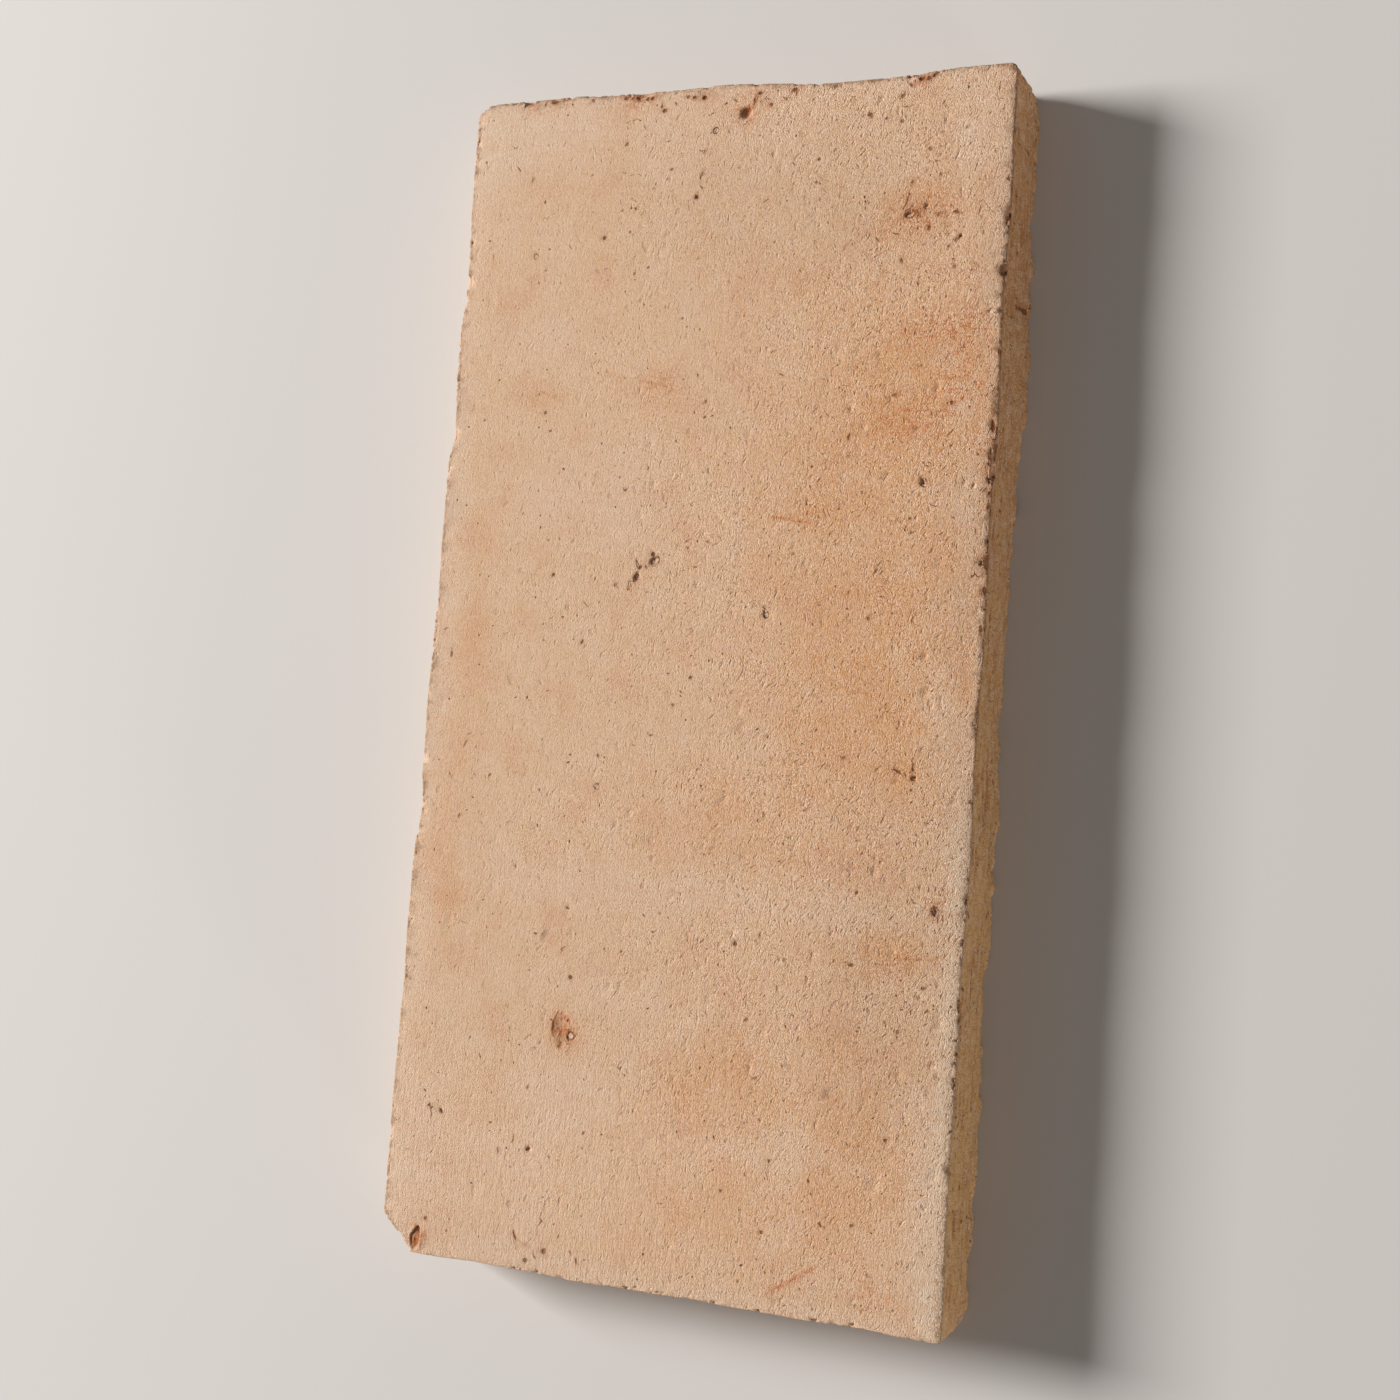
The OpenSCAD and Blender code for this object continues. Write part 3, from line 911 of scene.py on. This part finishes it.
def make_slab(relief, clay):
    """The slab: its solid on a fine grid, carved by the relief and thinned to its triangles."""
    slab = slab_copy()
    grid = slab.modifiers.new("Grid", "REMESH")
    grid.mode = "VOXEL"
    grid.voxel_size = relief.voxel * 1
    points = pit_points()
    carve = slab.modifiers.new("Relief", "NODES")
    carve.node_group = relief_tree()
    set_input(carve, "Pits", points)
    set_input(carve, "Clay", clay)
    for name in RELIEF_SIZES:
        set_input(carve, name, getattr(relief, name.lower()))
    mesh = settle(slab, "slab_carved")
    thin = slab.modifiers.new("Thin", "DECIMATE")
    thin.ratio = min(1, relief.triangles / triangle_count(mesh))
    mesh = settle(slab, "slab")
    bpy.data.objects.remove(points)
    kept_inside(mesh)
    mesh.polygons.foreach_set("use_smooth", [True] * len(mesh.polygons))
    mesh.update()
    return slab


# ---- Fired clay ----

# The grid of the sand grains, in millimetres
GRAIN_SPACING = 0.28
# Where the pale inner band of cream and painted highlight, the crumbs and the arrises darkened by dirt and
# painted shade begin and are full, eastwards
INNER_BAND = (68.5, 71.5)
CRUMB_BAND = (72.2, 73.6)
EAST_ARRIS = (62, 70)
WEST_ARRIS = (-66, -72)
# The same northwards, for the north arris darkened by dirt and painted shade, and the south half
NORTH_ARRIS = (140, 146)
SOUTH_HALF = (-5, -40)


class Skin:
    """What the fired clay reads at a point of the slab's skin, in millimetres."""

    def __init__(self, net):
        coordinates = net.node("ShaderNodeTexCoord")
        place = net.scaled(net.out(coordinates, "Object"), 1 / MM)
        normal = net.out(coordinates, "Normal")
        self.net = net
        self.east, self.north, self.height = net.parts(place)
        self.wall = net.smooth(abs(net.parts(normal)[2]), 0.6, 0.3)
        self.face = 1 - self.wall
        self.place = unrolled(net, place, normal)
        self.coarse = self.kept("coarse")
        self.arris = self.kept("arris")
        self.broken = self.kept("broken")
        self.break_up = net.smooth(net.noise(self.place, 2.4, 3, 0.75), 0.35, 0.65)
        self.ragged = net.noise(self.place, 0.6, 2, 0.7)
        self.lump = net.noise(self.place, 1.6, 2, 0.65)
        self.tint = net.noise(self.place, 4, 3, 0.65)
        self.grain_distance, self.grain_dice = net.cells(self.place, GRAIN_SPACING)

    def kept(self, name, output="Fac"):
        """A value that the relief kept on the slab's points."""
        made = self.net.node("ShaderNodeAttribute", attribute_name=name, attribute_type="GEOMETRY")
        return self.net.out(made, output)

    def drawn(self, across, along=1):
        """The place squeezed along its axes, so that noise on it comes out drawn out along them."""
        return self.net.vector("MULTIPLY", self.place, (across, along, 1))


def unrolled(net, place, normal):
    """The skin laid flat: east and north on the slab's faces, run and height on its cut sides."""
    east, north, height = net.parts(place)
    lean_x, lean_y, facing = [abs(part) for part in net.parts(normal)]
    on_wall = net.math("LESS_THAN", facing, 0.6)
    on_end = on_wall * net.math("GREATER_THAN", lean_x, lean_y)
    across = east + (north - east) * on_end
    along = north + (height - north) * on_wall
    return net.joined(across, along, 0)


def face_tone(skin, colours):
    """The walking face: warm and pale zones, clouds, bleached rims, orange patches and streaks."""
    net = skin.net
    clouds = net.noise(skin.place, 13, 2, 0.6)
    tone = net.blend(skin.kept("warm"), colours.pale, colours.warm)
    tone = net.blend(net.smooth(clouds, 0.5, 0.3) * 0.2, tone, colours.cream)
    tone = net.blend(net.smooth(clouds, 0.5, 0.75) * 0.15, tone, colours.orange)
    tone = net.blend(net.smooth(skin.tint, 0.52, 0.7) * 0.3, tone, colours.pink)
    tone = net.blend(net.smooth(skin.tint, 0.48, 0.3) * 0.25, tone, colours.ochre)

    across = net.noise(skin.drawn(0.15), 2.2, 3, 0.6)
    pale = skin.kept("pale") * (0.5 + net.smooth(across, 0.35, 0.65) * 0.5) * (0.6 + skin.break_up * 0.4)
    tone = net.blend(net.larger(pale, skin.kept("rim") * 0.4), tone, colours.cream)

    gritty = net.smooth(net.noise(skin.drawn(0.4), 1.5, 3, 0.8), 0.5, 0.62)
    orange = skin.kept("orange") * (0.1 + gritty * 0.75)
    drawn_thin = streak_field(net, skin.place, FINE_STREAKS) * (0.45 + skin.break_up * 0.55)
    return net.blend(net.larger(orange, drawn_thin), tone, colours.orange)


def side_tone(skin, colours):
    """The cut sides with drawn-out smears; the east one is more ochre, partly its clay and partly painted
    warm shade, and painted shade makes them darker and redder to the north.
    """
    net = skin.net
    smears = net.noise(skin.drawn(0.12), 1.6, 3, 0.7)
    # Partly painted warm shade: the east side keeps the ochre side colour, and the other sides turn paler.
    other = net.smooth(skin.east, 74, 62)
    tone = net.blend(other * 0.6, colours.side, colours.pale)
    # Painted shade: the sides grow darker and redder towards the north, most on the east one.
    tone = net.blend(net.smooth(skin.north, -90, 110) * (0.42 - other * 0.3), tone, colours.rust)
    tone = net.blend(net.smooth(smears, 0.45, 0.7) * 0.3, tone, colours.rust)
    return net.blend(net.smooth(skin.tint, 0.45, 0.7) * 0.35, tone, colours.cream)


def sanded(skin, colours, tone):
    """The tone with its light and dark grains of sand."""
    net = skin.net
    speckle = 0.5 + skin.coarse * 0.5
    light = net.smooth(skin.grain_dice[0], 0.5, 1) * 0.36 * speckle
    dark = net.smooth(skin.grain_dice[0], 0.5, 0) * 0.3 * speckle
    tone = net.blend(light, tone, colours.light)
    return net.blend(dark, tone, colours.rust)


def arrises_dirtied_and_shaded(skin, colours, tone):
    """The tone with a pale burr on the south half of the east arris, partly cream and partly painted
    highlight, and arrises darkened by dirt and painted shade.
    """
    net = skin.net
    easterly = net.smooth(skin.east, *EAST_ARRIS)
    westerly = net.smooth(skin.east, *WEST_ARRIS) * 0.7
    northerly = net.smooth(skin.north, *NORTH_ARRIS) * 0.8
    southerly = net.smooth(skin.north, *SOUTH_HALF)
    # Painted highlight, partly cream: a pale strip inside the south half of the east arris stands for the lit
    # slope of a burr.
    burr = net.smooth(skin.east + (skin.lump - 0.5) * 4, *INNER_BAND) * skin.face
    burr = burr * southerly * (1 - skin.broken * 0.7) * (0.2 + skin.break_up * 0.3)
    tone = net.blend(burr, tone, colours.ridge_cream_and_highlight)
    crumbs = net.smooth(skin.east + (skin.lump - 0.5) * 5, *CRUMB_BAND) * skin.face
    crumbs = crumbs * southerly * net.smooth(skin.ragged, 0.45, 0.6)
    # Painted shade and dirt: the west, north and east arrises, and the crumbs, are darkened.
    dirt_and_shade = net.larger(westerly, net.larger(northerly, easterly * (0.9 - southerly * 0.6)))
    grime_and_shade = net.larger(skin.arris * dirt_and_shade * (0.3 + skin.break_up * 0.7), crumbs * 0.5)
    return net.blend(grime_and_shade, tone, colours.grime_and_shade)


class Marks:
    """The dark marks in the skin: pits in their places, and scattered smaller ones."""

    def __init__(self, skin):
        net = skin.net
        across, along, _ = net.parts(skin.kept("pit_place", "Vector"))
        self.ring = skin.kept("pit_ring")
        reach = net.math("SQRT", across * across + along * along) * (0.15 + skin.ragged * 0.7 + skin.lump)
        self.stain = net.smooth(reach, 2.4, 0.8) * skin.kept("pit_rust")
        self.middle = net.smooth(reach, 0.7, 0.45) * self.ring
        gap = 1 - self.ring * net.smooth(skin.lump, 0.48, 0.38) * 0.7
        bowl = net.smooth(reach, 0.85 + self.ring * 0.25, 0.5 + self.ring * 0.35)
        depth = net.smooth(skin.kept("pit_depth"), 0.1, 0.8)
        self.core = bowl * (1 - self.middle) * gap * depth

        moved = shaken(net, skin.place, 5, 3, 0)
        self.pore = pores(net, moved, skin.ragged, skin.coarse)
        self.tick = ticks(net, moved, skin.ragged, skin.coarse)
        self.crater = craters(net, moved, skin.ragged, skin.coarse)
        edges = net.smooth(abs(skin.height - FACE_Z / MM / 2), 3, 9)
        share = 0.25 + edges * 0.45
        self.gouge = scattered(net, moved, skin.ragged, 2.8, share, small=0.25, large=1.1) * skin.wall
        self.line = streak_field(net, skin.place, DARK_LINES) * skin.face


def marked(skin, marks, colours, tone):
    """The tone with rust inside chips and round pits, the dark bottoms of all marks, partly the clay's dark
    body and partly painted shade, and a painted highlight on the lumps of ringed pits.
    """
    net = skin.net
    floors = skin.kept("rusty") * (0.3 + skin.break_up * 0.7)
    tone = net.blend(floors, tone, colours.orange)
    inside = net.larger(marks.stain * (0.2 + skin.break_up * 0.4), skin.broken * (0.45 + skin.break_up * 0.4))
    tone = net.blend(inside, tone, colours.rust)

    # Painted shade, partly the clay's dark body: pits, gouges, pores, ticks and lines darken to rust and then
    # to dark.
    deep = net.larger(marks.core * (0.6 + marks.ring * 0.3), marks.gouge * 0.5)
    deep = net.larger(deep, net.larger(marks.pore * 0.5, marks.tick * 0.2))
    deep = net.larger(deep, marks.line * 0.8)
    tone = net.blend(net.smooth(deep, 0.08, 0.55) * 0.65, tone, colours.rust)
    tone = net.blend(deep, tone, colours.dark)
    # Painted highlight: the middle of a ringed pit, where its lump stands, is lightened.
    tone = net.blend(marks.middle * 0.25, tone, colours.light)
    # Painted shade: the small craters are tinted rust.
    return net.blend(marks.crater * 0.15, tone, colours.rust)


def fine_height(skin, marks, relief):
    """The finest relief, as a height in millimetres."""
    net = skin.net
    combed = net.noise(skin.drawn(1, 0.16), 0.7, 2, 0.6)
    combed = combed * (0.35 + net.smooth(skin.north, -70, -120) * 0.65) * (1 - skin.coarse * 0.4)
    leaning = net.noise(turned(net, skin.place, 76, 2.6), 1.1, 2, 0.6)
    torn = net.smooth(leaning, 0.56, 0.72) * (0.25 + skin.coarse * 0.55) * skin.face
    grain = net.smooth(skin.grain_distance, 0.7, 0.1) * skin.grain_dice[1]
    grain = grain * net.larger(0.6 + skin.coarse * 0.4, skin.wall)
    height = grain * (relief.grain / MM) + combed * (relief.comb / MM)
    height = height - marks.pore * (relief.pore / MM) - marks.tick * (relief.tick / MM)
    return height - (marks.crater + torn) * (relief.crater / MM) - marks.core * (relief.pit / MM)


def clay_material(colours, relief):
    """Sandy fired clay: mottled buff, cream rims, orange patches, rusty chips and dark pores."""
    clay = bpy.data.materials.new(SLOT)
    clay.use_nodes = True
    tree = clay.node_tree
    tree.nodes.clear()
    net = Net(tree, "2D")
    skin = Skin(net)
    marks = Marks(skin)
    tone = net.blend(skin.wall, face_tone(skin, colours), side_tone(skin, colours))
    tone = sanded(skin, colours, tone)
    tone = arrises_dirtied_and_shaded(skin, colours, tone)
    tone = marked(skin, marks, colours, tone)
    tone = net.scaled(tone, 1 + (skin.coarse * 0.08 - skin.kept("dull") * 0.09) * skin.face)
    height = fine_height(skin, marks, relief)
    bump = net.node("ShaderNodeBump", {"Strength": 1, "Distance": MM, "Height": height})
    shader = net.node(
        "ShaderNodeBsdfPrincipled",
        {"Base Color": tone, "Roughness": 0.93, "Specular IOR Level": 0.25, "Normal": net.out(bump)},
    )
    result = net.node("ShaderNodeOutputMaterial")
    net.put(net.out(shader), result.inputs["Surface"])
    return clay


class TERRACOTTA_OT_slab(bpy.types.Operator):
    """Make the slab, with its relief and its fired colours"""

    bl_idname = "terracotta.slab"
    bl_label = "Slab"

    def execute(self, context):
        scene = context.scene
        relief = scene.terracotta_relief
        slab = make_slab(relief, clay_material(scene.terracotta_colours, relief))
        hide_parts(NODE)
        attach(slab, "root")
        return {"FINISHED"}


# ---- Studio ----

# How far the floor reaches to each side, in metres
FLOOR_REACH = 3
# The two square lamps, which look at the middle of the slab: place, width and tint
KEY_PLACE = (-2.9, 0.6, 1.62)
KEY_WIDTH = 1.1
KEY_TINT = (1, 0.98, 0.95)
BOUNCE_PLACE = (5, -5, 0.474)
BOUNCE_WIDTH = 1.58
BOUNCE_TINT = (1, 0.95, 0.88)
# The tint of the pale surroundings
FILL_TINT = (1, 0.945, 0.885)


def make_floor(studio):
    """A plain pale floor under the slab."""
    mesh = bpy.data.meshes.new("floor")
    corners = [(x * FLOOR_REACH, y * FLOOR_REACH, 0) for x, y in ((-1, -1), (1, -1), (1, 1), (-1, 1))]
    mesh.from_pydata(corners, [], [(0, 1, 2, 3)])
    plaster = bpy.data.materials.new("plain_plaster")
    plaster.use_nodes = True
    shader = plaster.node_tree.nodes["Principled BSDF"]
    shader.inputs["Base Color"].default_value = (*studio.floor, 1)
    shader.inputs["Roughness"].default_value = 0.95
    shader.inputs["Specular IOR Level"].default_value = 0.1
    mesh.materials.append(plaster)
    return placed("floor", mesh)


def make_lamp(name, place, width, power, tint):
    """A square lamp, turned to the middle of the slab."""
    lamp = bpy.data.lights.new(name, "AREA")
    lamp.shape = "SQUARE"
    lamp.size = width
    lamp.energy = power
    lamp.color = tint
    holder = placed(name, lamp)
    holder.location = place
    holder.rotation_euler = (-Vector(place)).to_track_quat("-Z", "Y").to_euler()


def make_camera(studio):
    """The camera, looking down on the walking face."""
    lens = bpy.data.cameras.new("camera")
    lens.lens = studio.lens
    lens.clip_start = 0.01
    lens.shift_y = -studio.rise
    camera = placed("camera", lens)
    middle = Vector((0, 0, FACE_Z))
    place = middle + Vector(studio.camera)
    back = (Vector(studio.camera) - Vector(studio.aim)).normalized()
    right = Vector((0, 1, 0)).cross(back).normalized()
    turn = Matrix((right, back.cross(right), back)).transposed() @ Matrix.Rotation(studio.roll, 3, "Z")
    camera.matrix_world = Matrix.Translation(place) @ turn.to_4x4()
    bpy.context.scene.camera = camera


class TERRACOTTA_OT_stage(bpy.types.Operator):
    """Make the floor, the lamps, the surroundings and the camera"""

    bl_idname = "terracotta.stage"
    bl_label = "Stage"

    def execute(self, context):
        scene = context.scene
        studio = scene.terracotta_studio
        make_floor(studio)
        make_lamp("key", KEY_PLACE, KEY_WIDTH, studio.key, KEY_TINT)
        make_lamp("bounce", BOUNCE_PLACE, BOUNCE_WIDTH, studio.bounce, BOUNCE_TINT)
        world = bpy.data.worlds.new("surroundings")
        world.use_nodes = True
        sky = world.node_tree.nodes["Background"]
        sky.inputs["Color"].default_value = (*FILL_TINT, 1)
        sky.inputs["Strength"].default_value = studio.fill
        scene.world = world
        make_camera(studio)
        scene.view_settings.view_transform = "Standard"
        return {"FINISHED"}


class TERRACOTTA_PT_panel(bpy.types.Panel):
    """Lists the tile's settings and operators"""

    bl_idname = "TERRACOTTA_PT_panel"
    bl_label = "Terracotta tile"
    bl_space_type = "VIEW_3D"
    bl_region_type = "UI"
    bl_category = "Terracotta"

    def draw(self, context):
        for group in GROUPS:
            settings = getattr(context.scene, group)
            for name in settings.__annotations__:
                self.layout.prop(settings, name)
        for operator in OPERATORS:
            self.layout.operator(operator.bl_idname)


GROUPS = {
    "terracotta_relief": TERRACOTTA_PG_relief,
    "terracotta_colours": TERRACOTTA_PG_colours,
    "terracotta_studio": TERRACOTTA_PG_studio,
}
OPERATORS = (TERRACOTTA_OT_slab, TERRACOTTA_OT_stage)


def register():
    """Adds the settings, the operators and the panel to Blender."""
    for made in (*GROUPS.values(), *OPERATORS, TERRACOTTA_PT_panel):
        bpy.utils.register_class(made)
    for name, group in GROUPS.items():
        setattr(bpy.types.Scene, name, bpy.props.PointerProperty(type=group))


def unregister():
    """Takes them out again."""
    for name in GROUPS:
        delattr(bpy.types.Scene, name)
    for made in reversed((*GROUPS.values(), *OPERATORS, TERRACOTTA_PT_panel)):
        bpy.utils.unregister_class(made)


def main():
    """Makes the tile and its studio, and keeps their sizes."""
    register()
    bpy.ops.terracotta.slab()
    bpy.ops.terracotta.stage()


if __name__ == "__main__":
    main()
